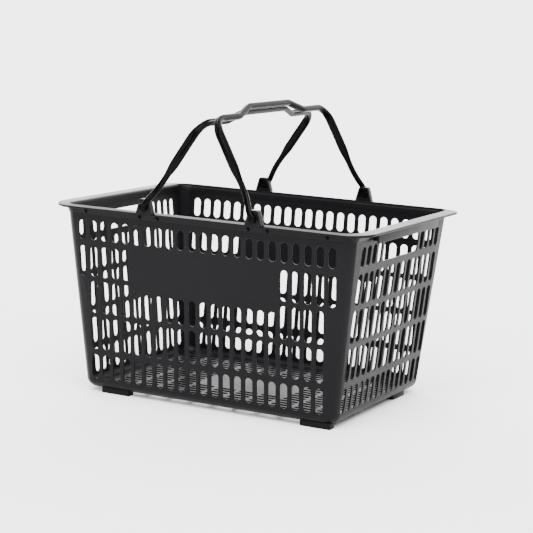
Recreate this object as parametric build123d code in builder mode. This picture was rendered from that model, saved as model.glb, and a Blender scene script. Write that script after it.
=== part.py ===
from build123d import *
import math
import os

os.makedirs("parts", exist_ok=True)

# A supermarket hand basket. +X runs along the long side, +Z is up, and the
# origin is on the ground under the middle of the basket. Millimetres.

# ---- driving dimensions: the moulded basket ----
rim_length = 500.0  # over the two short-side grip flanges
rim_width = 348.0  # over the two long-side flanges
rim_top = 274.0
rim_corner = 36.0  # outer corner of the flange, seen from above
rim_thickness = 4.0
rim_band = 12.0  # solid band that carries the flange
grip_flange = 20.0  # flange overhang on the short sides
side_flange = 8.5  # flange overhang on the long sides
side_flange_fall = 1.6  # the long flanges fall away outwards
side_flange_crest = 7.0  # width of the falling strip
rim_chamfer = 1.2
rim_lip = 2.0  # chamfer round the mouth
ledge_drop = 5.2  # stacking ledge below the rim, long sides only
ledge_depth = 1.6

foot_height = 6.0
base_inset_x = 27.1  # how far each end wall leans in from rim to base
base_inset_y = 18.5
wall = 2.4
corner = 20.0  # outer radius of the four upright corners
base_round = 12.0
pan_height = 14.0  # depth of the moulded floor pan

# ---- driving dimensions: grilles ----
slot_pitch = 18.0
slot_width = 11.6
lowest_slot = 20.8
slot_heights = (35.7, 47.2, 46.4, 44.0, 28.2)  # bottom row first
slot_webs = (8.1, 6.6, 6.6, 9.2)
long_columns = 23  # in the two upper rows
long_columns_low = 21  # in the three lower rows
short_columns = 15
panel_columns = 13  # plain panel in the middle of each long wall
panel_foot = 154.5  # where the slots under the plain panel end
hand_hold_columns = 7  # slots of the top row merged into the hand hold
hand_hold_corner = 6.0
hand_band_foot = 220.0

floor_slot_length = 30.0
floor_slot_width = 7.0
floor_pitch_x = 36.0
floor_pitch_y = 12.2
floor_slots_x = 10
floor_slots_y = 21
floor_panel_length = 170.0  # plain middle of the floor
floor_panel_width = 74.0

# ---- driving dimensions: skirts, gussets, feet ----
skirt_length = 208.0
skirt_drop = 15.0
skirt_setback = 12.0  # from the flange edge
skirt_round = 5.0
gusset_thickness = 2.4
gusset_places = (72.0, 101.0, 191.0)  # X of the gussets, mirrored
foot_length = 46.0
foot_side_length = 40.0
foot_width = 14.0
foot_overlap = 8.0  # how high a foot reaches up the rounded base edge

# ---- driving dimensions: pivots and bail handles ----
pivot_x = 86.0
pivot_height = 8.5  # above the rim
ear_base = 25.6
ear_top = 14.0
ear_height = 20.0
ear_depth = 9.9
ear_overhang = 6.0  # beyond the edge of the flange
ear_cheek = 3.4
ear_frame = 3.0
ear_round = 4.0
stud_radius = 3.4
stud_clearance = 0.08
stud_head = 4.4
stud_head_length = 1.6
foot_boss_radius = 6.5
side_clearance = 0.4
strap = 6.0  # sideways thickness of a leg
leg_thin = 7.4
leg_thick = 11.0
neck_start = 60.0  # along the leg, from the pivot
neck_end = 80.0
leg_straight = 20.0
leg_offset_end = 72.0
leg_draw_in = 13.4
handle_reach = 146.4  # pivot to the crossbar
bend_radius = 24.0
bend_allowance = 1.0  # straight length between leg and bend
bar_height = 8.8
bar_depth = 8.6
bar_round = 3.0
grip_rise = 13.0
grip_flat = 120.0
grip_slope = 35.0
left_lean = 34.2  # how far each raised handle leans in past upright
right_lean = 28.8

# ---- worked out from the dimensions above ----
base_z = foot_height
pan_top = base_z + pan_height
band_foot = rim_top - rim_band
flange_z = rim_top - rim_thickness
half_x_top = rim_length / 2 - grip_flange
half_y_top = rim_width / 2 - side_flange
flange_y = rim_width / 2
pivot_z = rim_top + pivot_height
ear_outer = flange_y + ear_overhang
ear_inner = ear_outer - ear_depth
leg_y_pivot = ear_outer + side_clearance + strap / 2
leg_y_top = leg_y_pivot - leg_draw_in
leg_top = handle_reach - bend_radius - bend_allowance
stud_shoulder = ear_outer - ear_cheek - side_clearance
reach = 20.0  # how far cutting tools stand out of what they cut


def lean(z):
    """Share of the wall's outward lean at height z, 0 at the base and 1 at the rim."""
    return (z - base_z) / (rim_top - base_z)


def half_x(z):
    """Outer half length of the basket at height z."""
    return half_x_top - base_inset_x * (1 - lean(z))


def half_y(z):
    """Outer half width of the basket at height z."""
    return half_y_top - base_inset_y * (1 - lean(z))


def row_bounds():
    """Foot and head of each row of slots, bottom row first."""
    bounds = []
    z = lowest_slot
    for height, web in zip(slot_heights, slot_webs + (0,)):
        bounds.append((z, z + height))
        z += height + web
    return bounds


rows = row_bounds()


def tapered_block(inset, z_low, z_high):
    """Solid rounded block that follows the walls, set in by inset."""
    with BuildPart() as block:
        for z in (z_low, z_high):
            with BuildSketch(Plane.XY.offset(z)):
                RectangleRounded(
                    2 * (half_x(z) - inset), 2 * (half_y(z) - inset), corner - inset
                )
        loft()
    return block.part


middle = ((-1, -corner), (1, -corner))  # between the corner posts


def edge_strip(side):
    """Limits of the strip that holds the wall on one side."""
    return ((-1, reach), (-1, -corner)) if side < 0 else ((1, -corner), (1, reach))


def zone(limits_x, limits_y, z_low, z_high):
    """Tapering block; a limit is a side and how far it lies beyond the wall."""
    with BuildPart() as block:
        for z in (z_low, z_high):
            x0, x1 = (side * (half_x(z) + beyond) for side, beyond in limits_x)
            y0, y1 = (side * (half_y(z) + beyond) for side, beyond in limits_y)
            with BuildSketch(Plane.XY.offset(z)):
                with BuildLine():
                    Polyline((x0, y0), (x1, y0), (x1, y1), (x0, y1), close=True)
                make_face()
        loft()
    return block.part


def make_shell():
    """Open-topped shell of walls and floor, without slots or rim."""
    with BuildPart() as outer:
        add(tapered_block(0, base_z, rim_top))
        fillet(outer.faces().sort_by(Axis.Z)[0].edges(), base_round)
    with BuildPart() as inner:
        add(tapered_block(wall, base_z + wall, rim_top))
        fillet(inner.faces().sort_by(Axis.Z)[0].edges(), base_round - wall)
    with BuildPart() as shell:
        add(outer.part)
        add(inner.part, mode=Mode.SUBTRACT)
    return outer.part, shell.part


outer_block, shell_part = make_shell()


def shell_piece(region, cutter=None):
    """Part of the shell inside a region, less what the cutter takes away."""
    with BuildPart() as piece:
        add(shell_part)
        add(region, mode=Mode.INTERSECT)
        if cutter is not None:
            add(cutter, mode=Mode.SUBTRACT)
    return piece.part


def finish(part, name):
    """Label a finished piece and write its file."""
    part.label = name
    export_step(part, f"parts/{name}.step")
    return part


# ---- grilles ----


def slot_centres(columns, skip=0):
    """Column offsets from the wall's middle, without the middle ones in skip."""
    middle = (columns - 1) / 2
    offsets = [i - middle for i in range(columns)]
    return [o * slot_pitch for o in offsets if abs(o) >= skip / 2]


def slots(plane, spans, depth):
    """Cutter made of upright round-ended slots; spans are (offset, foot, head)."""
    with BuildPart() as cutter:
        with BuildSketch(plane):
            for offset, foot, head in spans:
                with Locations((offset, (foot + head) / 2)):
                    SlotOverall(head - foot, slot_width, rotation=90)
        extrude(amount=depth)
    return cutter.part


def long_wall_spans():
    """Slots of a long wall: two wide rows on top, a plain panel in the middle."""
    spans = []
    for index, (foot, head) in enumerate(rows):
        columns = long_columns if index >= 3 else long_columns_low
        skip = panel_columns if index == 3 else 0
        for offset in slot_centres(columns, skip):
            under_panel = index == 2 and abs(offset) < panel_columns * slot_pitch / 2
            spans.append((offset, foot, panel_foot if under_panel else head))
    return spans


def long_cutter(side):
    """Slots of the front (-1) or back (+1) wall."""
    near = half_y(base_z) - reach if side < 0 else -half_y_top - reach
    depth = 2 * reach + base_inset_y
    return slots(Plane.XZ.offset(near), long_wall_spans(), depth)


def short_cutter(side):
    """Slots and hand hold of the left (-1) or right (+1) wall."""
    plane = Plane.YZ.offset(half_x(base_z) - reach if side > 0 else -half_x_top - reach)
    depth = 2 * reach + base_inset_x
    spans = [(o, foot, head) for foot, head in rows[:4] for o in slot_centres(short_columns)]
    foot, head = rows[4]
    spans += [(o, foot, head) for o in slot_centres(short_columns, hand_hold_columns)]
    hold_length = (hand_hold_columns - 1) * slot_pitch + slot_width
    with BuildPart() as cutter:
        add(slots(plane, spans, depth))
        with BuildSketch(plane):
            with Locations((0, (foot + head) / 2)):
                RectangleRounded(hold_length, head - foot, hand_hold_corner)
        extrude(amount=depth)
    return cutter.part


sides_x = {"left": -1, "right": 1}
sides_y = {"front": -1, "back": 1}
long_cutters = {side: long_cutter(side) for side in sides_y.values()}
short_cutters = {side: short_cutter(side) for side in sides_x.values()}
for y_name, y_side in sides_y.items():
    region = zone(middle, edge_strip(y_side), pan_top, band_foot)
    finish(shell_piece(region, long_cutters[y_side]), f"{y_name}_wall")
for x_name, x_side in sides_x.items():
    cutter = short_cutters[x_side]
    region = zone(edge_strip(x_side), middle, pan_top, hand_band_foot)
    finish(shell_piece(region, cutter), f"{x_name}_wall")
    region = zone(edge_strip(x_side), middle, hand_band_foot, band_foot)
    finish(shell_piece(region, cutter), f"{x_name}_hand_hold")
    for y_name, y_side in sides_y.items():
        region = zone(edge_strip(x_side), edge_strip(y_side), pan_top, band_foot)
        post = shell_piece(region, long_cutters[y_side] + cutter)
        finish(post, f"corner_post_{y_name}_{x_name}")


# ---- floor pan and feet ----


def make_floor_pan():
    """Moulded floor with its rounded edge and rows of drain slots."""
    with BuildPart() as floor_pan:
        add(shell_part)
        with BuildSketch(Plane.XY.offset(base_z)):
            Rectangle(2 * rim_length, 2 * rim_width)
        extrude(amount=pan_height, mode=Mode.INTERSECT)
        with BuildSketch(Plane.XY.offset(base_z - reach)):
            grid = GridLocations(floor_pitch_x, floor_pitch_y, floor_slots_x, floor_slots_y)
            for spot in grid:
                in_panel = (
                    abs(spot.position.X) < floor_panel_length / 2
                    and abs(spot.position.Y) < floor_panel_width / 2
                )
                if not in_panel:
                    with Locations(spot):
                        SlotOverall(floor_slot_length, floor_slot_width)
        extrude(amount=reach + wall + 1, mode=Mode.SUBTRACT)
    return floor_pan.part


def make_foot(x, y, length_x, length_y):
    """Low pad under the rounded edge of the floor."""
    with BuildPart() as foot:
        with BuildSketch():
            with Locations((x, y)):
                RectangleRounded(length_x, length_y, foot_width / 4)
        extrude(amount=foot_height + foot_overlap)
        add(outer_block, mode=Mode.SUBTRACT)
    return foot.part


finish(make_floor_pan(), "floor_pan")
foot_y = half_y(base_z) - foot_width / 2 - 3.0
foot_x = half_x(base_z) - foot_width / 2 - 6.0
foot_inner_x = half_x(base_z) - foot_length - 6.7
foot_outer_x = half_x(base_z) - foot_length / 2 - 7.0
foot_side_y = half_y(base_z) - foot_side_length - 22.0
for name, turn in (("front", 1), ("back", -1)):
    inner = make_foot(-turn * foot_inner_x, -turn * foot_y, foot_length, foot_width)
    finish(inner, f"foot_{name}_inner")
    outer = make_foot(turn * foot_outer_x, -turn * foot_y, foot_length, foot_width)
    finish(outer, f"foot_{name}_outer")
for name, turn in (("right", 1), ("left", -1)):
    side_foot = make_foot(turn * foot_x, turn * foot_side_y, foot_width, foot_side_length)
    finish(side_foot, f"foot_{name}_side")


# ---- rim ----

rim_length_x = half_x_top - corner  # the straight lengths end here
rim_length_y = half_y_top - corner


def cut_mouth():
    """Cutter for the chamfer round the mouth and the stacking ledges."""
    with BuildPart() as mouth:
        for widening, z in ((0, rim_top - rim_lip), (rim_lip, rim_top)):
            inset = wall - widening
            with BuildSketch(Plane.XY.offset(z)):
                RectangleRounded(
                    2 * (half_x_top - inset), 2 * (half_y_top - inset), corner - inset
                )
        loft()
        ledge_width = 2 * (half_y_top - wall + ledge_depth)
        with BuildSketch(Plane.XY.offset(rim_top - ledge_drop)):
            Rectangle(2 * rim_length_x, ledge_width)
        extrude(amount=ledge_drop)
    return mouth.part


def make_rim_ring():
    """Whole flange and the solid band under it, later cut into eight lengths."""
    with BuildPart() as ring:
        with BuildSketch(Plane.XY.offset(flange_z)):
            RectangleRounded(rim_length, rim_width, rim_corner)
        extrude(amount=rim_thickness)
        chamfer(ring.faces().sort_by(Axis.Z)[-1].edges(), rim_chamfer)
        add(tapered_block(0, band_foot, rim_top))
        add(tapered_block(wall, band_foot, rim_top), mode=Mode.SUBTRACT)
        add(cut_mouth(), mode=Mode.SUBTRACT)
        for side in sides_y.values():
            crest = side * (flange_y - side_flange_crest)
            edge = side * (flange_y + 1)
            fall = rim_top - side_flange_fall
            with BuildSketch(Plane.YZ.offset(-rim_length)):
                with BuildLine():
                    Polyline(
                        (crest, rim_top), (edge, fall), (edge, rim_top + 1), (crest, rim_top + 1),
                        close=True,
                    )
                make_face()
            extrude(amount=2 * rim_length, mode=Mode.SUBTRACT)
    return ring.part


rim_ring = make_rim_ring()


def rim_piece(x_low, x_high, y_low, y_high):
    """Length of the rim inside an upright box."""
    with BuildPart() as piece:
        add(rim_ring)
        with BuildSketch(Plane.XY.offset(band_foot)):
            with Locations(((x_low + x_high) / 2, (y_low + y_high) / 2)):
                Rectangle(x_high - x_low, y_high - y_low)
        extrude(amount=rim_band, mode=Mode.INTERSECT)
    return piece.part


def make_long_rim(side):
    """Front (-1) or back (+1) rim, with the small gussets under its flange."""
    low, high = sorted((side * rim_length_y, side * rim_width))
    root = half_y(band_foot) - wall / 2
    gusset = (
        (side * root, band_foot),
        (side * root, flange_z),
        (side * (flange_y - 1), flange_z),
        (side * (flange_y - 1), flange_z - 1),
        (side * (half_y(band_foot) + 1), band_foot),
    )
    with BuildPart() as rim:
        add(rim_piece(-rim_length_x, rim_length_x, low, high))
        for x in gusset_places:
            for mirrored in (-x, x):
                with BuildSketch(Plane.YZ.offset(mirrored - gusset_thickness / 2)):
                    with BuildLine():
                        Polyline(*gusset, close=True)
                    make_face()
                extrude(amount=gusset_thickness)
    return rim.part


def make_skirt(side):
    """Lip turned down under a short flange, for the fingers to close on."""
    face = side * (rim_length / 2 - skirt_setback - wall / 2)
    with BuildPart() as skirt:
        with BuildSketch(Plane.XY.offset(flange_z - skirt_drop)):
            with Locations((face, 0)):
                Rectangle(wall, skirt_length)
        extrude(amount=skirt_drop)
        ends = skirt.edges().filter_by(Axis.X).group_by(Axis.Z)[0]
        fillet(ends, skirt_round)
    return skirt.part


for y_name, y_side in sides_y.items():
    finish(make_long_rim(y_side), f"rim_{y_name}")
for x_name, x_side in sides_x.items():
    x_low, x_high = sorted((x_side * rim_length_x, x_side * rim_length))
    finish(rim_piece(x_low, x_high, -rim_length_y, rim_length_y), f"rim_{x_name}")
    finish(make_skirt(x_side), f"grip_skirt_{x_name}")
    for y_name, y_side in sides_y.items():
        y_low, y_high = sorted((y_side * rim_length_y, y_side * rim_width))
        finish(rim_piece(x_low, x_high, y_low, y_high), f"rim_corner_{y_name}_{x_name}")


# ---- pivots ----


def across(side, near, far):
    """Sketch plane and depth for a shape between two distances from the middle."""
    low, high = sorted((side * near, side * far))
    return Plane.XZ.offset(-high), high - low


def ear_outline(inset):
    """Trapezoid of an ear, in X and Z, set in all round."""
    foot = rim_top + inset if inset else rim_top - side_flange_fall
    head = rim_top + ear_height - inset
    return [
        (-ear_base / 2 + inset, foot),
        (ear_base / 2 - inset, foot),
        (ear_base / 2 - inset, rim_top + inset),
        (ear_top / 2 - inset / 2, head),
        (inset / 2 - ear_top / 2, head),
        (inset - ear_base / 2, rim_top + inset),
    ]


def make_ear(side_x, side_y):
    """Pivot ear on the rim: an outer cheek with the stud hole, hollow behind it."""
    x = side_x * pivot_x
    whole = across(side_y, ear_inner, ear_outer)
    hollow = across(side_y, ear_inner, ear_outer - ear_cheek)
    with BuildPart() as ear:
        with BuildSketch(whole[0]):
            with Locations((x, 0)):
                Polygon(*ear_outline(0), align=None)
        extrude(amount=whole[1])
        crown = ear.edges().filter_by(Axis.Y).group_by(Axis.Z)[-1]
        fillet(crown, ear_round)
        with BuildSketch(hollow[0]):
            with Locations((x, 0)):
                Polygon(*ear_outline(ear_frame)[1:5], ear_outline(ear_frame)[0], align=None)
        extrude(amount=hollow[1], mode=Mode.SUBTRACT)
        with BuildSketch(whole[0]):
            with Locations((x, pivot_z)):
                Circle(stud_radius + stud_clearance)
        extrude(amount=whole[1], mode=Mode.SUBTRACT)
        add(rim_ring, mode=Mode.SUBTRACT)
    return ear.part


for x_name, x_side in sides_x.items():
    for y_name, y_side in sides_y.items():
        finish(make_ear(x_side, y_side), f"pivot_ear_{y_name}_{x_name}")


# ---- bail handles, drawn upright about their pivot line and then leant over ----


def make_leg(side):
    """Leg with its pivot boss and stud; it draws in over the rim and thickens."""
    half = strap / 2
    inward = [
        (leg_y_pivot - half, 0),
        (leg_y_pivot - half, leg_straight),
        (leg_y_top - half, leg_offset_end),
        (leg_y_top - half, leg_top),
    ]
    outward = [(y + strap, z) for y, z in reversed(inward)]
    flank = [
        (leg_thin / 2, 0),
        (leg_thin / 2, neck_start),
        (leg_thick / 2, neck_end),
        (leg_thick / 2, leg_top),
    ]
    other_flank = [(-x, z) for x, z in reversed(flank)]
    boss = across(side, leg_y_pivot - half, leg_y_pivot + half)
    stud = across(side, stud_shoulder, leg_y_pivot - half)
    head = across(side, stud_shoulder - stud_head_length, stud_shoulder)
    with BuildPart() as leg:
        with BuildSketch(Plane.YZ.offset(-leg_thick / 2)):
            Polygon(*((side * y, z) for y, z in inward + outward), align=None)
        extrude(amount=leg_thick)
        with BuildSketch(across(side, leg_y_top - strap, leg_y_pivot + strap)[0]):
            Polygon(*flank, *other_flank, align=None)
        extrude(amount=leg_y_pivot - leg_y_top + 2 * strap, mode=Mode.INTERSECT)
        for (plane, depth), radius in (
            (boss, foot_boss_radius),
            (stud, stud_radius),
            (head, stud_head),
        ):
            with BuildSketch(plane):
                Circle(radius)
            extrude(amount=depth)
    return leg.part


def make_grip_bar():
    """Crossbar: two end bends and a raised hand grip in the middle."""
    half_path = [
        (leg_y_top, leg_top),
        (leg_y_top, handle_reach),
        (grip_flat / 2 + grip_slope, handle_reach),
        (grip_flat / 2, handle_reach + grip_rise),
    ]
    path = half_path + [(-y, z) for y, z in reversed(half_path)]
    with BuildPart() as bar:
        with BuildLine() as line:
            FilletPolyline(*((0, y, z) for y, z in path), radius=bend_radius)
        start = Plane(origin=line.line @ 0, x_dir=(1, 0, 0), z_dir=line.line % 0)
        with BuildSketch(start):
            RectangleRounded(bar_height, bar_depth, bar_round)
        sweep()
    return bar.part


handle_parts = {
    "front_leg": make_leg(-1),
    "back_leg": make_leg(1),
    "grip_bar": make_grip_bar(),
}
for name, side, tilt in (("left", -1, left_lean), ("right", 1, right_lean)):
    place = Pos(side * pivot_x, 0, pivot_z) * Rot(0, -side * tilt, 0)
    for part_name, upright in handle_parts.items():
        finish(place * upright, f"{name}_handle_{part_name}")
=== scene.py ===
import math

import bmesh
import bpy
import numpy as np
from mathutils import Matrix, Vector


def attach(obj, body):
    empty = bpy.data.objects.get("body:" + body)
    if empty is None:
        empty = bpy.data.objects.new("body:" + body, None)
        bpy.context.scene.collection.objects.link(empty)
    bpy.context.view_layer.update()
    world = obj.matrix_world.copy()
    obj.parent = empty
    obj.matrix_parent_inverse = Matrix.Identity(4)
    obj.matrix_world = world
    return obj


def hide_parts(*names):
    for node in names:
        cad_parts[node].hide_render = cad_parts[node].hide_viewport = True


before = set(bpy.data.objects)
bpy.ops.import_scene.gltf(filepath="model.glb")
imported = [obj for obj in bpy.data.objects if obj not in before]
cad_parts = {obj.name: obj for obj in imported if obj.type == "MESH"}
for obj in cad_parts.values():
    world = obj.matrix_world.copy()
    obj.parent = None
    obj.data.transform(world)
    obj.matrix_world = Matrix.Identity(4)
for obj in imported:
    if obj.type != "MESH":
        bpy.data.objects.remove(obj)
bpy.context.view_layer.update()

# Sizes are in millimetres, in the row frame, and turned into metres when a mesh is made.
MM = 0.001

# ---- basket ----
RIM_X, RIM_Y, RIM_Z = 250.0, 174.0, 274.0
RIM_CORNER = 36.0
WALL_X, WALL_Y = 230.0, 165.5
BASE_Z = 6.0
LEAN_X, LEAN_Y = 27.1, 18.5
WALL = 2.4
CORNER = 20.0
BASE_ROUND = 12.0
PAN_TOP = 20.0
BAND_FOOT = 262.0
WRAP = 6.0  # how far the flat panels reach round the corners

# ---- slots ----
PITCH = 18.0
SLOT = 11.6
ROWS = ((20.8, 56.5), (64.6, 111.8), (118.4, 164.8), (171.4, 215.4), (224.6, 252.8))
LONG_COLUMNS = (21, 21, 21, 23, 23)
SHORT_COLUMNS = 15
PANEL_COLUMNS = 13
PANEL_FOOT = 154.5
HOLD_COLUMNS = 7
LIP = 0.55  # rounding of the slot edges

# ---- floor ----
FLOOR_COLUMNS, FLOOR_ROWS = 10, 21
FLOOR_PITCH_X, FLOOR_PITCH_Y = 36.0, 12.2
FLOOR_HALF_SLOT = (15.0, 3.5)
FLOOR_PATCH = (85.0, 37.0)  # half sizes of the plain middle

# ---- handles ----
PIVOT_X, PIVOT_Z = 86.0, 282.5
LEANS = {"left": 34.2, "right": 28.8}
EAR_OUTER, EAR_INNER, CHEEK = 180.0, 170.1, 3.4
STRAP_Y, STRAP_TOP_Y = 183.4, 170.0
EAR_HOLE = 3.5
REACH, BEND, RISE = 146.4, 25.0, 13.0


def half_x(z):
    return WALL_X - LEAN_X * (RIM_Z - z) / (RIM_Z - BASE_Z)


def half_y(z):
    return WALL_Y - LEAN_Y * (RIM_Z - z) / (RIM_Z - BASE_Z)


# ---------------------------------------------------------------- node trees


class Wire:
    """A node socket that can be used in sums, in shader and geometry trees."""

    def __init__(self, tree, socket):
        self.tree, self.socket = tree, socket

    def maths(self, operation, *values):
        vector = any(isinstance(v, Wire) and v.socket.type != "VALUE" for v in values)
        kind = "ShaderNodeVectorMath" if vector else "ShaderNodeMath"
        return self.tree.add(kind, {"operation": operation}, dict(enumerate(values)))

    def __add__(self, other):
        return self.maths("ADD", self, other)

    def __radd__(self, other):
        return self.maths("ADD", other, self)

    def __sub__(self, other):
        return self.maths("SUBTRACT", self, other)

    def __rsub__(self, other):
        return self.maths("SUBTRACT", other, self)

    def __mul__(self, other):
        return self.maths("MULTIPLY", self, other)

    def __rmul__(self, other):
        return self.maths("MULTIPLY", other, self)

    def __truediv__(self, other):
        return self.maths("DIVIDE", self, other)


class Tree:
    """Adds nodes to a tree, each from its type, settings and socket values."""

    def __init__(self, tree):
        self.tree = tree

    def plug(self, socket, value):
        if isinstance(value, Wire):
            self.tree.links.new(value.socket, socket)
        elif hasattr(socket, "default_value"):
            several = hasattr(socket.default_value, "__len__") and not isinstance(value, str)
            spread = several and not hasattr(value, "__len__")
            socket.default_value = (value,) * 3 if spread else value

    def add(self, kind, settings=None, values=None, output=0):
        node = self.tree.nodes.new(kind)
        for key, value in (settings or {}).items():
            setattr(node, key, value)
        for key, value in (values or {}).items():
            for item in value if isinstance(value, list) else [value]:
                self.plug(node.inputs[key], item)
        return Wire(self, node.outputs[output])


def clamp(wire, low, high):
    return wire.tree.add("ShaderNodeClamp", None, {"Value": wire, "Min": low, "Max": high})


def smooth_step(wire, low, high):
    """0 below low, 1 above high."""
    values = {"Value": wire, "From Min": low, "From Max": high}
    return wire.tree.add("ShaderNodeMapRange", {"interpolation_type": "SMOOTHSTEP"}, values)


# ---------------------------------------------------------------- materials


def plastic(name, dark, light, rough, grain, coat=0.0, wear=0.0, sheen=0.5):
    """Moulded plastic: clouded tone, fine spark texture, faint rubs and scratches."""
    material = bpy.data.materials.new(name)
    material.use_nodes = True
    material.node_tree.nodes.clear()
    t = Tree(material.node_tree)
    where = t.add("ShaderNodeTexCoord", output="Object")

    def noise(scale, detail=2.0, stretch=(1.0, 1.0, 1.0), seed=0.0):
        spot = where * stretch + seed
        values = {"Vector": spot, "Scale": scale, "Detail": detail, "Roughness": 0.55}
        return t.add("ShaderNodeTexNoise", None, values)

    cloud = noise(9.0, 3.0)
    spark = noise(2600.0, 1.0)
    rubs = noise(34.0, 5.0, (1.0, 1.0, 3.2), 4.0)
    streaks = noise(60.0, 4.0, (0.12, 0.12, 9.0), 9.0)
    scratch = smooth_step(streaks, 0.62, 0.72) * smooth_step(rubs, 0.5, 0.66)
    dust = smooth_step(rubs, 0.52, 0.8) * wear
    shade = t.add(
        "ShaderNodeMix",
        {"data_type": "RGBA"},
        {"Factor": cloud, "A": (*dark, 1.0), "B": (*light, 1.0)},
        output=2,
    )
    pale = t.add(
        "ShaderNodeMix",
        {"data_type": "RGBA"},
        {"Factor": clamp(dust + scratch * wear, 0.0, 1.0), "A": shade, "B": (0.17, 0.165, 0.16, 1.0)},
        output=2,
    )
    roughness = clamp(rough + (cloud - 0.5) * 0.16 + (rubs - 0.5) * 0.14 + dust * 0.5, 0.05, 1.0)
    relief = spark * 0.55 + rubs * 0.3 + scratch * 0.5
    normal = t.add(
        "ShaderNodeBump",
        None,
        {"Strength": grain, "Distance": 0.0004, "Height": relief},
    )
    shader = t.add(
        "ShaderNodeBsdfPrincipled",
        None,
        {
            "Base Color": pale,
            "Roughness": roughness,
            "Normal": normal,
            "IOR": 1.49,
            "Specular IOR Level": sheen,
            "Coat Weight": coat,
            "Coat Roughness": 0.08,
        },
    )
    end = material.node_tree.nodes.new("ShaderNodeOutputMaterial")
    material.node_tree.links.new(shader.socket, end.inputs["Surface"])
    return material


# The tones and the sheen go with the bright studio below; real black plastic is paler and glossier.
BODY = plastic(
    "basket plastic", (0.0027, 0.0027, 0.0034), (0.0044, 0.0043, 0.0050),
    rough=0.36, grain=0.12, wear=0.004, sheen=0.075,
)
HANDLE = plastic(
    "handle plastic", (0.0006, 0.0005, 0.0004), (0.0016, 0.0013, 0.0011),
    rough=0.26, grain=0.06, coat=0.03, wear=0.004, sheen=0.035,
)
# The feet are the basket's own plastic: their darker tone is painted shade from under the basket, while
# the pale rubs are real dust.
SHADED_FOOT = plastic(
    "foot plastic in painted shade", (0.001, 0.001, 0.001), (0.003, 0.003, 0.003),
    rough=0.5, grain=0.2, wear=0.03, sheen=0.08,
)


# ---------------------------------------------------------------- meshes


def place(mesh, name, body, nodes, material, angle=38.0):
    """Object from a mesh in metres, riding on a body and standing for CAD nodes."""
    mesh.materials.clear()
    mesh.materials.append(material)
    mesh.shade_smooth()
    mesh.set_sharp_from_angle(angle=math.radians(angle))
    item = bpy.data.objects.new(name, mesh)
    bpy.context.scene.collection.objects.link(item)
    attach(item, body)
    if nodes:
        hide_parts(*nodes)
    return item


def skin(rings, closed_loop=False, caps=False):
    """Vertices and faces of a surface through rings of equally many points."""
    rings = [np.asarray(r, float) for r in rings]
    count, size = len(rings), len(rings[0])
    verts = np.concatenate(rings)
    faces = []
    for i in range(count if closed_loop else count - 1):
        j = (i + 1) % count
        for k in range(size):
            m = (k + 1) % size
            faces.append((i * size + k, i * size + m, j * size + m, j * size + k))
    if caps:
        faces.append(tuple(reversed(range(size))))
        faces.append(tuple(range((count - 1) * size, count * size)))
    return verts, faces


def merge(*parts):
    """One (vertices, faces) pair from several."""
    verts, faces, start = [], [], 0
    for part_verts, part_faces in parts:
        verts.append(part_verts)
        faces += [tuple(start + i for i in face) for face in part_faces]
        start += len(part_verts)
    return np.concatenate(verts), faces


def to_mesh(name, part):
    """Mesh in metres with outward normals from (vertices in mm, faces)."""
    verts, faces = part
    mesh = bpy.data.meshes.new(name)
    mesh.from_pydata((verts * MM).tolist(), [], faces)
    work = bmesh.new()
    work.from_mesh(mesh)
    bmesh.ops.recalc_face_normals(work, faces=work.faces)
    work.to_mesh(mesh)
    work.free()
    return mesh


def rounded_box(size, centre, radius, segments=3):
    """Box with rounded edges as (vertices, faces)."""
    work = bmesh.new()
    bmesh.ops.create_cube(work, size=1.0)
    for vert in work.verts:
        vert.co = Vector([vert.co[i] * size[i] for i in range(3)])
    bmesh.ops.bevel(
        work, geom=work.edges[:] + work.verts[:], offset=radius, segments=segments,
        profile=0.5, affect="EDGES", clamp_overlap=True,
    )
    verts = np.array([list(v.co) for v in work.verts]) + np.array(centre)
    faces = [tuple(v.index for v in f.verts) for f in work.faces]
    work.free()
    return verts, faces


def rounded_outline(points, radii, steps=6):
    """Closed outline with its corners rounded, as a list of 2-D points."""
    points = [Vector(p) for p in points]
    outline = []
    for i, corner in enumerate(points):
        radius = radii[i] if hasattr(radii, "__len__") else radii
        before = (points[i - 1] - corner).normalized()
        after = (points[(i + 1) % len(points)] - corner).normalized()
        turn = before.angle(after)
        if radius <= 0 or turn > math.pi - 0.01:
            outline.append(corner)
            continue
        trim = radius / math.tan(turn / 2)
        middle = corner + (before + after).normalized() * radius / math.sin(turn / 2)
        a, b = corner + before * trim - middle, corner + after * trim - middle
        sweep = a.angle_signed(b)
        for k in range(steps + 1):
            angle = -sweep * k / steps
            c, s = math.cos(angle), math.sin(angle)
            outline.append(middle + Vector((a.x * c - a.y * s, a.x * s + a.y * c)))
    return outline


def plate(outlines, depth, bevel, steps=2):
    """Flat plate with holes and rounded edges; the first outline is the outer one."""
    curve = bpy.data.curves.new("plate", "CURVE")
    curve.dimensions = "2D"
    curve.fill_mode = "BOTH"
    curve.extrude = depth / 2 - bevel
    curve.bevel_depth = bevel
    curve.bevel_resolution = steps
    curve.offset = -bevel
    for outline in outlines:
        line = curve.splines.new("POLY")
        line.points.add(len(outline) - 1)
        for point, (x, y) in zip(line.points, outline):
            point.co = (x, y, 0, 1)
        line.use_cyclic_u = True
    item = bpy.data.objects.new("plate", curve)
    bpy.context.scene.collection.objects.link(item)
    bpy.context.view_layer.update()
    mesh = bpy.data.meshes.new_from_object(item.evaluated_get(bpy.context.evaluated_depsgraph_get()))
    verts = np.array([list(v.co) for v in mesh.vertices])
    faces = [tuple(p.vertices) for p in mesh.polygons]
    bpy.data.objects.remove(item)
    bpy.data.meshes.remove(mesh)
    return verts, faces


# ---------------------------------------------------------------- slotted panels


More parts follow.
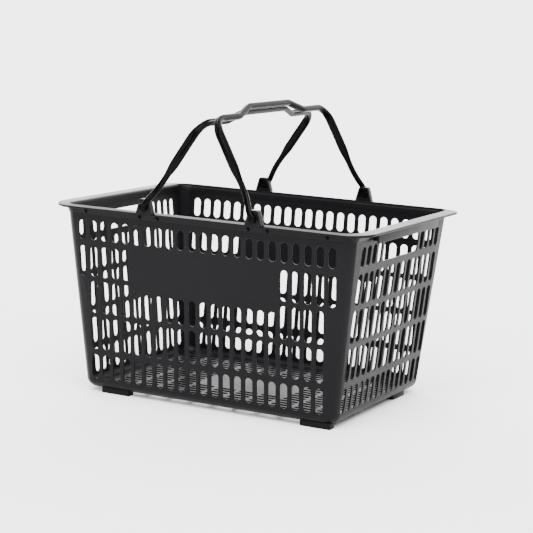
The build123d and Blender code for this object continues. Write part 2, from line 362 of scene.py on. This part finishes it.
def slotted_panel_tree(rounded):
    """Geometry nodes: a plate whose slots sit on the input points, with rounded lips."""
    group = bpy.data.node_groups.new("slotted panel", "GeometryNodeTree")
    face = group.interface
    face.new_socket("Slot centres", in_out="INPUT", socket_type="NodeSocketGeometry")
    inputs = {}
    for name in ("Foot width", "Head width", "Height", "Thickness", "Lip", "Corner"):
        inputs[name] = face.new_socket(name, in_out="INPUT", socket_type="NodeSocketFloat")
    inputs["Material"] = face.new_socket(
        "Material", in_out="INPUT", socket_type="NodeSocketMaterial"
    )
    face.new_socket("Panel", in_out="OUTPUT", socket_type="NodeSocketGeometry")
    t = Tree(group)
    entry = group.nodes.new("NodeGroupInput")
    given = {s.name: Wire(t, s) for s in entry.outputs if s.name}
    thickness, lip = given["Thickness"], given["Lip"]

    def remember(shape):
        here = t.add("GeometryNodeInputPosition")
        return t.add(
            "GeometryNodeStoreNamedAttribute",
            {"data_type": "FLOAT_VECTOR", "domain": "POINT"},
            {"Geometry": shape, "Name": "side", "Value": here},
        )

    def attribute(name, kind):
        return t.add(
            "GeometryNodeInputNamedAttribute", {"data_type": kind}, {"Name": name}
        )

    def spread(shape, widen, depth):
        """Puts the round shape on each centre, stretched to that slot's size."""
        copies = t.add(
            "GeometryNodeInstanceOnPoints",
            None,
            {"Points": given["Slot centres"], "Instance": remember(shape)},
        )
        real = t.add("GeometryNodeRealizeInstances", None, {"Geometry": copies})
        side = attribute("side", "FLOAT_VECTOR")
        radius = attribute("bend", "FLOAT")
        flat = side * (1.0, 1.0, 0.0)
        sign = side.maths("SIGN", flat)
        corner = t.add("ShaderNodeCombineXYZ", None, {"X": radius, "Y": radius})
        stretch = sign * (attribute("half", "FLOAT_VECTOR") - corner)
        grow = flat * (radius + widen - 1.0)
        rise = t.add("ShaderNodeCombineXYZ", None, {"Z": depth})
        height = side * (0.0, 0.0, 1.0)
        return t.add(
            "GeometryNodeSetPosition",
            None,
            {"Geometry": real, "Offset": stretch + grow + rise - height},
        )

    points = 28
    turn = math.pi / points
    circle = t.add("GeometryNodeCurvePrimitiveCircle", None, {"Resolution": points, "Radius": 1.0})
    circle = t.add("GeometryNodeTransform", None, {"Geometry": circle, "Rotation": (0, 0, turn)})
    rims = spread(circle, lip, 0.0)
    outline = t.add(
        "GeometryNodeCurvePrimitiveQuadrilateral",
        {"mode": "TRAPEZOID"},
        {
            "Bottom Width": given["Foot width"],
            "Top Width": given["Head width"],
            "Height": given["Height"],
            "Offset": 0.0,
        },
    )
    if rounded:
        outline = t.add(
            "GeometryNodeFilletCurve",
            {"mode": "POLY"},
            {"Curve": outline, "Count": 8, "Radius": given["Corner"]},
        )
    both = t.add("GeometryNodeJoinGeometry", None, {0: [outline, rims]})
    sheet = t.add("GeometryNodeFillCurve", {"mode": "TRIANGLES"}, {0: both})
    up = t.add("ShaderNodeCombineXYZ", None, {"Z": thickness / 2.0})
    down = t.add("ShaderNodeCombineXYZ", None, {"Z": thickness / -2.0})
    face_in = t.add("GeometryNodeSetPosition", None, {"Geometry": sheet, "Offset": up})
    face_out = t.add("GeometryNodeSetPosition", None, {"Geometry": sheet, "Offset": down})
    face_out = t.add("GeometryNodeFlipFaces", None, {"Mesh": face_out})

    tube = t.add(
        "GeometryNodeMeshCylinder",
        {"fill_type": "NONE"},
        {"Vertices": points, "Side Segments": 6, "Radius": 1.0, "Depth": 2.0},
    )
    tube = t.add("GeometryNodeTransform", None, {"Geometry": tube, "Rotation": (0, 0, turn)})
    tube = t.add("GeometryNodeFlipFaces", None, {"Mesh": tube})
    level = t.add(
        "ShaderNodeSeparateXYZ", None, {"Vector": attribute("side", "FLOAT_VECTOR")}, output="Z"
    )
    way = level.maths("SIGN", level)
    arc = clamp((level.maths("ABSOLUTE", level) - 1 / 3) * 1.5, 0.0, 1.0) * (math.pi / 2)
    widen = lip * (1.0 - arc.maths("COSINE", arc))
    depth = way * (thickness / 2.0 - lip + lip * arc.maths("SINE", arc))
    lips = spread(tube, widen, depth)
    lips = t.add("GeometryNodeSetShadeSmooth", None, {0: lips})
    whole = t.add("GeometryNodeJoinGeometry", None, {0: [face_in, face_out, lips]})
    whole = t.add("GeometryNodeRealizeInstances", None, {"Geometry": whole})
    whole = t.add(
        "GeometryNodeSetMaterial", None, {"Geometry": whole, "Material": given["Material"]}
    )
    end = group.nodes.new("NodeGroupOutput")
    group.links.new(whole.socket, end.inputs[0])
    return group, {name: s.identifier for name, s in inputs.items()}


PANEL_TREES = {rounded: slotted_panel_tree(rounded) for rounded in (False, True)}


def slotted_panel(spots, foot_width, head_width, height, corner=0.0):
    """Panel in its own plane, in mm: (vertices, faces). A spot is (x, y, half, half, radius)."""
    spots = np.array(spots, float)
    cloud = bpy.data.meshes.new("slot centres")
    flat = np.column_stack([spots[:, :2], np.zeros(len(spots))])
    cloud.from_pydata(flat.tolist(), [], [])
    half = cloud.attributes.new("half", "FLOAT_VECTOR", "POINT")
    half.data.foreach_set(
        "vector", np.column_stack([spots[:, 2:4], np.zeros(len(spots))]).ravel()
    )
    cloud.attributes.new("bend", "FLOAT", "POINT").data.foreach_set("value", spots[:, 4].copy())
    item = bpy.data.objects.new("slot centres", cloud)
    bpy.context.scene.collection.objects.link(item)
    group, sockets = PANEL_TREES[corner > 0]
    modifier = item.modifiers.new("panel", "NODES")
    modifier.node_group = group
    for name, value in (
        ("Foot width", foot_width),
        ("Head width", head_width),
        ("Height", height),
        ("Thickness", WALL),
        ("Lip", LIP),
        ("Corner", corner),
        ("Material", BODY),
    ):
        modifier[sockets[name]] = value
    bpy.context.view_layer.update()
    depsgraph = bpy.context.evaluated_depsgraph_get()
    mesh = bpy.data.meshes.new_from_object(item.evaluated_get(depsgraph))
    item.modifiers.clear()
    bpy.data.objects.remove(item)
    bpy.data.meshes.remove(cloud)
    return mesh


def panel_piece(mesh, mapping, name, nodes):
    """Bends a flat panel onto the basket and makes it a piece."""
    co = np.zeros(len(mesh.vertices) * 3)
    mesh.vertices.foreach_get("co", co)
    mesh.vertices.foreach_set("co", (mapping(co.reshape(-1, 3)) * MM).ravel())
    for leftover in ("half", "bend", "side"):
        if leftover in mesh.attributes:
            mesh.attributes.remove(mesh.attributes[leftover])
    mesh.update()
    return place(mesh, name, "basket", nodes, BODY, 30.0)


def wall_mapping(along, side, middle):
    """Maps a flat panel onto a long ("x") or short ("y") wall and round its corners."""

    def mapping(co):
        u, z = co[:, 0], co[:, 1] + middle
        w = co[:, 2] + WALL / 2
        reach, out = (half_x(z), half_y(z)) if along == "x" else (half_y(z), half_x(z))
        past = np.maximum(np.abs(u) - (reach - CORNER), 0.0) / CORNER
        inside = np.minimum(np.abs(u), reach - CORNER)
        a = np.sign(u) * (inside + (CORNER - w) * np.sin(past))
        b = side * (out - CORNER + (CORNER - w) * np.cos(past))
        return np.column_stack([a, b, z] if along == "x" else [b, a, z])

    return mapping


def centres(columns, skip=0):
    middle = (columns - 1) / 2
    return [(i - middle) * PITCH for i in range(columns) if abs(i - middle) >= skip / 2]


def wall_spots(long_wall, middle):
    """Slots of a wall as (x, y, half width, half height, corner radius)."""
    spots = []
    for index, (foot, head) in enumerate(ROWS):
        columns = LONG_COLUMNS[index] if long_wall else SHORT_COLUMNS
        skip = 0
        if long_wall and index == 3:
            skip = PANEL_COLUMNS
        if not long_wall and index == 4:
            skip = HOLD_COLUMNS
            half = ((HOLD_COLUMNS - 1) * PITCH + SLOT) / 2
            spots.append((0.0, (foot + head) / 2 - middle, half, (head - foot) / 2, 6.0))
        for x in centres(columns, skip):
            top = head
            if long_wall and index == 2 and abs(x) < PANEL_COLUMNS * PITCH / 2:
                top = PANEL_FOOT
            spots.append((x, (foot + top) / 2 - middle, SLOT / 2, (top - foot) / 2, SLOT / 2))
    return spots


def make_walls():
    height = BAND_FOOT - PAN_TOP
    middle = (BAND_FOOT + PAN_TOP) / 2
    for along, half, sides in (
        ("x", half_x, {"front": -1, "back": 1}),
        ("y", half_y, {"left": -1, "right": 1}),
    ):
        for name, side in sides.items():
            mesh = slotted_panel(
                wall_spots(along == "x", middle),
                2 * (half(PAN_TOP) - CORNER + WRAP),
                2 * (half(BAND_FOOT) - CORNER + WRAP),
                height,
            )
            if (side > 0) != (along == "y"):
                mesh.flip_normals()
            nodes = [f"{name}_wall"] + ([] if along == "x" else [f"{name}_hand_hold"])
            panel_piece(mesh, wall_mapping(along, side, middle), f"wall_{name}", nodes)


def make_posts():
    """The four rounded upright corners, outer and inner faces."""
    start = WRAP / CORNER
    angles = np.linspace(start, math.pi / 2 - start, 15)
    for x_name, sx in (("left", -1), ("right", 1)):
        for y_name, sy in (("front", -1), ("back", 1)):
            rings = []
            for a in angles:
                ring = []
                for radius, z in (
                    (CORNER, PAN_TOP), (CORNER, BAND_FOOT),
                    (CORNER - WALL, BAND_FOOT), (CORNER - WALL, PAN_TOP),
                ):
                    x = half_x(z) - CORNER + radius * math.sin(a)
                    y = half_y(z) - CORNER + radius * math.cos(a)
                    ring.append((sx * x, sy * y, z))
                rings.append(ring)
            mesh = to_mesh("post", skin(rings))
            name = f"{y_name}_{x_name}"
            place(mesh, f"post_{name}", "basket", [f"corner_post_{name}"], BODY)


def round_rect(hx, hy, radius, steps=12):
    """Ring of points round a rounded rectangle."""
    ring = []
    for corner, (sx, sy) in enumerate(((1, 1), (-1, 1), (-1, -1), (1, -1))):
        for k in range(steps + 1):
            a = math.pi / 2 * (corner + k / steps)
            ring.append((sx * (hx - radius) + radius * math.cos(a),
                         sy * (hy - radius) + radius * math.sin(a)))
    return ring


def make_pan():
    """Rounded foot of the tub and the slotted floor."""
    outer, inner = [], []
    outer.append([(x, y, PAN_TOP) for x, y in round_rect(half_x(PAN_TOP), half_y(PAN_TOP), CORNER)])
    inner.append([
        (x, y, PAN_TOP)
        for x, y in round_rect(half_x(PAN_TOP) - WALL, half_y(PAN_TOP) - WALL, CORNER - WALL)
    ])
    level = BASE_Z + BASE_ROUND
    for psi in np.linspace(0, math.pi / 2, 9):
        for rings, radius in ((outer, BASE_ROUND), (inner, BASE_ROUND - WALL)):
            z = level - radius * math.sin(psi)
            draw = BASE_ROUND - radius * math.cos(psi)
            hx, hy = half_x(max(z, BASE_Z)) - draw, half_y(max(z, BASE_Z)) - draw
            rings.append([(x, y, z) for x, y in round_rect(hx, hy, max(CORNER - draw, 0.5))])
    mesh = to_mesh("pan", skin(outer + inner[::-1]))
    place(mesh, "pan_edge", "basket", ["floor_pan"], BODY)
    spots = []
    for i in range(FLOOR_COLUMNS):
        for j in range(FLOOR_ROWS):
            x = (i - (FLOOR_COLUMNS - 1) / 2) * FLOOR_PITCH_X
            y = (j - (FLOOR_ROWS - 1) / 2) * FLOOR_PITCH_Y
            if abs(x) >= FLOOR_PATCH[0] or abs(y) >= FLOOR_PATCH[1]:
                spots.append((x, y, *FLOOR_HALF_SLOT, FLOOR_HALF_SLOT[1]))
    width = 2 * (half_x(BASE_Z) - BASE_ROUND)
    floor = slotted_panel(spots, width, width, 2 * (half_y(BASE_Z) - BASE_ROUND), CORNER - BASE_ROUND)
    floor_level = np.array([0.0, 0.0, BASE_Z + WALL / 2])
    panel_piece(floor, lambda co: co + floor_level, "floor", [])


# Rim sections as (share of the flange's overhang, height); both have as many points.
LONG_SECTION = (
    (-0.365, 262.0), (-0.30, 268.6), (-0.26, 269.3), (-0.08, 270.4), (-0.045, 271.0),
    (-0.04, 273.3), (0.0, 273.9), (0.10, 274.0), (0.20, 273.8), (0.96, 272.3),
    (1.0, 271.9), (1.0, 269.9), (0.95, 269.4), (0.27, 269.4), (0.15, 268.9), (-0.08, 262.0),
)
SHORT_SECTION = (
    (-0.18, 262.0), (-0.145, 269.6), (-0.14, 270.6), (-0.125, 271.7), (-0.09, 272.8),
    (-0.04, 273.6), (0.02, 273.95), (0.10, 274.0), (0.50, 274.0), (0.95, 273.9),
    (1.0, 273.2), (1.0, 271.2), (0.975, 270.6), (0.16, 270.5), (0.06, 269.6), (-0.06, 262.0),
)


def make_rim():
    """Flange swept round the mouth; its section changes over at the corners."""
    rings = []
    steps = 20
    for corner, (sx, sy) in enumerate(((1, 1), (-1, 1), (-1, -1), (1, -1))):
        for k in range(steps + 1):
            share = k / steps
            a = math.pi / 2 * (corner + share)
            toward_long = share if corner % 2 == 0 else 1 - share
            blend = toward_long * toward_long * (3 - 2 * toward_long)
            c, s = math.cos(a), math.sin(a)
            near = (sx * (WALL_X - CORNER) + CORNER * c, sy * (WALL_Y - CORNER) + CORNER * s)
            far = (
                sx * (RIM_X - RIM_CORNER) + RIM_CORNER * c,
                sy * (RIM_Y - RIM_CORNER) + RIM_CORNER * s,
            )
            ring = []
            for (u0, z0), (u1, z1) in zip(SHORT_SECTION, LONG_SECTION):
                u, z = u0 + (u1 - u0) * blend, z0 + (z1 - z0) * blend
                ring.append((near[0] + (far[0] - near[0]) * u, near[1] + (far[1] - near[1]) * u, z))
            rings.append(ring)
    mesh = to_mesh("rim", skin(rings, closed_loop=True))
    nodes = [f"rim_{side}" for side in ("front", "back", "left", "right")]
    nodes += [f"rim_corner_{y}_{x}" for y in ("front", "back") for x in ("left", "right")]
    place(mesh, "rim", "basket", nodes, BODY, 32.0)
    gussets = []
    for side in (-1, 1):
        for x in (72.0, 101.0, 191.0):
            for sx in (-1, 1):
                section = (
                    (163.6, 262.4), (163.6, 269.8), (173.0, 269.8), (173.0, 268.6), (165.6, 262.4),
                )
                rings = [
                    [(sx * x + dx, side * y, z) for y, z in section] for dx in (-1.2, 1.2)
                ]
                gussets.append(skin(rings, caps=True))
    place(to_mesh("gussets", merge(*gussets)), "gussets", "basket", [], BODY)


def make_skirts_and_feet():
    for name, side in (("left", -1), ("right", 1)):
        lip = rounded_box((2.4, 208.0, 15.6), (side * 236.8, 0.0, 262.8), 1.0)
        ends = [
            rounded_box((8.6, 2.4, 12.0), (side * 233.0, sy * 102.8, 264.6), 0.8) for sy in (-1, 1)
        ]
        mesh = to_mesh("lip", merge(lip, *ends))
        place(mesh, f"grip_lip_{name}", "basket", [f"grip_skirt_{name}"], BODY)
    feet = {
        "front_inner": ((-149.2, -137.0), (46.0, 14.0)), "back_inner": ((149.2, 137.0), (46.0, 14.0)),
        "front_outer": ((172.9, -137.0), (46.0, 14.0)), "back_outer": ((-172.9, 137.0), (46.0, 14.0)),
        "right_side": ((189.9, 85.0), (14.0, 40.0)), "left_side": ((-189.9, -85.0), (14.0, 40.0)),
    }
    for name, ((x, y), (sx, sy)) in feet.items():
        part = rounded_box((sx, sy, 9.0), (x, y, 4.5), 1.2)
        # The feet take the darker copy of the plastic, which paints the shade under the basket.
        place(to_mesh(name, part), f"foot_{name}", "basket", [f"foot_{name}"], SHADED_FOOT)


def ear_outline(inset):
    """Trapezoid of an ear; the inner one, set in, bounds its hollow."""
    head = [
        (12.8 - inset, RIM_Z + inset), (7.0 - inset * 0.6, RIM_Z + 20.0 - inset),
        (-7.0 + inset * 0.6, RIM_Z + 20.0 - inset), (-12.8 + inset, RIM_Z + inset),
    ]
    if inset:
        return rounded_outline(head, [0.8, 1.6, 1.6, 0.8])
    return rounded_outline([(-12.8, 272.3), (12.8, 272.3)] + head, [0.8, 0.8, 1.0, 3.4, 3.4, 1.0])


def make_ears():
    hole = [
        (EAR_HOLE * math.cos(a), PIVOT_Z + EAR_HOLE * math.sin(a))
        for a in np.linspace(0, 2 * math.pi, 33)[:-1]
    ]
    cheek = plate([ear_outline(0), hole], CHEEK, 0.5)
    frame_depth = EAR_OUTER - EAR_INNER - CHEEK
    hood = plate([ear_outline(0), ear_outline(3.0)], frame_depth + 1.0, 0.5)
    for x_name, sx in (("left", -1), ("right", 1)):
        for y_name, sy in (("front", -1), ("back", 1)):
            parts = []
            for (verts, faces), y in (
                (cheek, EAR_OUTER - CHEEK / 2), (hood, EAR_INNER + frame_depth / 2 + 0.5),
            ):
                turned = np.column_stack(
                    [verts[:, 0] + sx * PIVOT_X, sy * (y + verts[:, 2]), verts[:, 1]]
                )
                parts.append((turned, faces))
            mesh = to_mesh("ear", merge(*parts))
            name = f"{y_name}_{x_name}"
            place(mesh, f"ear_{name}", "basket", [f"pivot_ear_{name}"], BODY)


# ---------------------------------------------------------------- handles


def bail_path():
    """Centre line of half a handle in its own plane, as (sideways, outwards) points."""
    corners = [
        ((STRAP_Y, 0.0), 0.0), ((STRAP_Y - 0.4, 8.0), 30.0), ((STRAP_TOP_Y + 0.6, 34.0), 60.0),
        ((STRAP_TOP_Y, REACH), BEND), ((97.0, REACH), 11.0), ((60.0, REACH + RISE), 11.0),
        ((0.0, REACH + RISE), 0.0),
    ]
    path = []
    for i, (point, radius) in enumerate(corners):
        here = Vector(point)
        if radius == 0.0:
            path.append(here)
            continue
        before = (Vector(corners[i - 1][0]) - here).normalized()
        after = (Vector(corners[i + 1][0]) - here).normalized()
        turn = before.angle(after)
        trim = radius / math.tan(turn / 2)
        middle = here + (before + after).normalized() * radius / math.sin(turn / 2)
        a, b = here + before * trim - middle, here + after * trim - middle
        sweep = -a.angle_signed(b)
        steps = max(4, int(abs(sweep) * 12))
        for k in range(steps + 1):
            c, s = math.cos(sweep * k / steps), math.sin(sweep * k / steps)
            path.append(middle + Vector((a.x * c - a.y * s, a.x * s + a.y * c)))
    dense = [path[0]]
    for point in path[1:]:
        gap = (point - dense[-1]).length
        first = dense[-1]
        count = max(1, int(gap / 5.0))
        dense += [first.lerp(point, (k + 1) / count) for k in range(count)]
    return dense


def bail_section(a, b, groove, fullness):
    """Closed section, a half across the bail's plane, b half within it, grooved outside."""
    ring = []
    for k in range(36):
        angle = 2 * math.pi * k / 36
        c, s = math.cos(angle), math.sin(angle)
        u = math.copysign(abs(c) ** (2 / fullness), c) * a
        v = math.copysign(abs(s) ** (2 / fullness), s) * b
        if s > 0:
            v -= groove * math.exp(-((u / (0.42 * a)) ** 4))
        ring.append((u, v))
    return ring


def half_sizes(y, r, travelled):
    """Half width, half depth, groove and fullness of the section at a point."""
    def ramp(value, low, high):
        share = min(max((value - low) / (high - low), 0.0), 1.0)
        return share * share * (3 - 2 * share)

    neck = ramp(travelled, 54.0, 80.0)
    bend = ramp(travelled, 124.0, 152.0)
    a = 4.3 + 2.0 * neck - 1.9 * bend
    b = 3.1 + 0.5 * neck + 0.8 * bend
    return a, b, 1.4 * ramp(travelled, 84.0, 110.0), 2.4 + 1.2 * neck - 0.3 * bend


def lathe(profile, steps=40):
    """Turned solid about the Y line through the pivot; profile is (y, radius)."""
    rings = []
    for y, radius in profile:
        rings.append([
            (radius * math.cos(a), y, radius * math.sin(a))
            for a in np.linspace(0, 2 * math.pi, steps + 1)[:-1]
        ])
    return skin(rings, caps=True)


def make_handles():
    path = bail_path()
    lengths = [0.0]
    for p, q in zip(path, path[1:]):
        lengths.append(lengths[-1] + (q - p).length)
    rings, splits = [], 0
    for i, point in enumerate(path):
        tangent = (path[min(i + 1, len(path) - 1)] - path[max(i - 1, 0)]).normalized()
        normal = Vector((tangent.y, -tangent.x))  # outwards of the bail
        section = bail_section(*half_sizes(point.x, point.y, lengths[i]))
        rings.append([(u, point.x + normal.x * v, point.y + normal.y * v) for u, v in section])
        if point.y < 121.0 and point.x > 160.0:
            splits = i + 1
    leg = skin(rings[:splits + 1], caps=True)
    half_bar = [np.array(r) for r in rings[splits:]]
    other_bar = [r * np.array([1.0, -1.0, 1.0]) for r in half_bar[::-1]]
    bar = skin(half_bar + other_bar[1:], caps=True)
    boss = lathe((
        (180.4, 5.4), (180.6, 6.0), (185.8, 6.0), (186.6, 5.4), (186.9, 4.4), (186.9, 2.4),
        (186.2, 2.0),
    ))
    stud = lathe(((180.8, 3.4), (176.2, 3.4), (176.2, 4.4), (175.1, 4.4), (174.6, 3.6)))
    for name, side in (("left", -1), ("right", 1)):
        tilt = Matrix.Rotation(math.radians(-side * LEANS[name]), 3, "Y")
        turn = np.array(tilt)
        shift = np.array([side * PIVOT_X, 0.0, PIVOT_Z])
        body = f"{name}_handle"

        def stand(part, flip=1.0):
            verts, faces = part
            return (verts * np.array([1.0, flip, 1.0])) @ turn.T + shift, faces

        for y_name, flip in (("front", -1.0), ("back", 1.0)):
            whole = merge(*(stand(p, flip) for p in (leg, boss, stud)))
            place(
                to_mesh("leg", whole), f"{name}_leg_{y_name}", body,
                [f"{name}_handle_{y_name}_leg"], HANDLE, 40.0,
            )
        place(
            to_mesh("bar", stand(bar)), f"{name}_grip", body,
            [f"{name}_handle_grip_bar"], HANDLE, 40.0,
        )


make_walls()
make_posts()
make_pan()
make_rim()
make_skirts_and_feet()
make_ears()
make_handles()


# ---------------------------------------------------------------- studio


def studio_material(name, shade):
    material = bpy.data.materials.new(name)
    material.use_nodes = True
    shader = material.node_tree.nodes["Principled BSDF"]
    shader.inputs["Base Color"].default_value = (*shade, 1.0)
    shader.inputs["Roughness"].default_value = 0.9
    return material


BACKDROP = (-0.46, 0.88, 0.1)  # towards the bright backdrop


def make_studio():
    mesh = bpy.data.meshes.new("ground")
    mesh.from_pydata([(-200, -200, 0), (200, -200, 0), (200, 200, 0), (-200, 200, 0)], [], [(0, 1, 2, 3)])
    mesh.materials.append(studio_material("ground", (0.9, 0.9, 0.9)))
    ground = bpy.data.objects.new("ground", mesh)
    bpy.context.scene.collection.objects.link(ground)
    world = bpy.data.worlds.new("studio")
    world.use_nodes = True
    t = Tree(world.node_tree)
    heading = t.add("ShaderNodeTexCoord", output="Generated")
    behind = t.add(
        "ShaderNodeVectorMath", {"operation": "DOT_PRODUCT"}, {0: heading, 1: BACKDROP}, "Value"
    )
    glow = 0.5 + 7.5 * smooth_step(behind, 0.3, 0.9)
    t.plug(world.node_tree.nodes["Background"].inputs["Strength"], glow)
    world.node_tree.nodes["Background"].inputs["Color"].default_value = (1.0, 1.0, 1.0, 1.0)
    bpy.context.scene.world = world
    sun = bpy.data.lights.new("overhead", "SUN")
    sun.energy = 11.0
    sun.angle = math.radians(70.0)
    lamp = bpy.data.objects.new("overhead", sun)
    lamp.rotation_euler = Vector((-0.25, 0.6, -1.0)).to_track_quat("-Z", "Y").to_euler()
    bpy.context.scene.collection.objects.link(lamp)


def make_camera():
    azimuth, elevation, roll = (math.radians(v) for v in (27.75, 9.442, 2.005))
    back = Vector((
        math.sin(azimuth) * math.cos(elevation),
        -math.cos(azimuth) * math.cos(elevation),
        math.sin(elevation),
    ))
    right = Vector((math.cos(azimuth), math.sin(azimuth), 0.0))
    up = back.cross(right)
    across = right * math.cos(roll) + up * math.sin(roll)
    upward = up * math.cos(roll) - right * math.sin(roll)
    data = bpy.data.cameras.new("camera")
    data.sensor_width = 36.0
    data.lens = 116.35
    data.clip_end = 1000.0
    camera = bpy.data.objects.new("camera", data)
    target = Vector((11.862, 5.573, 185.645)) * MM
    turn = Matrix((across, upward, back)).transposed().to_4x4()
    camera.matrix_world = Matrix.Translation(target + back * 2.51585) @ turn
    bpy.context.scene.collection.objects.link(camera)
    bpy.context.scene.camera = camera


make_studio()
make_camera()
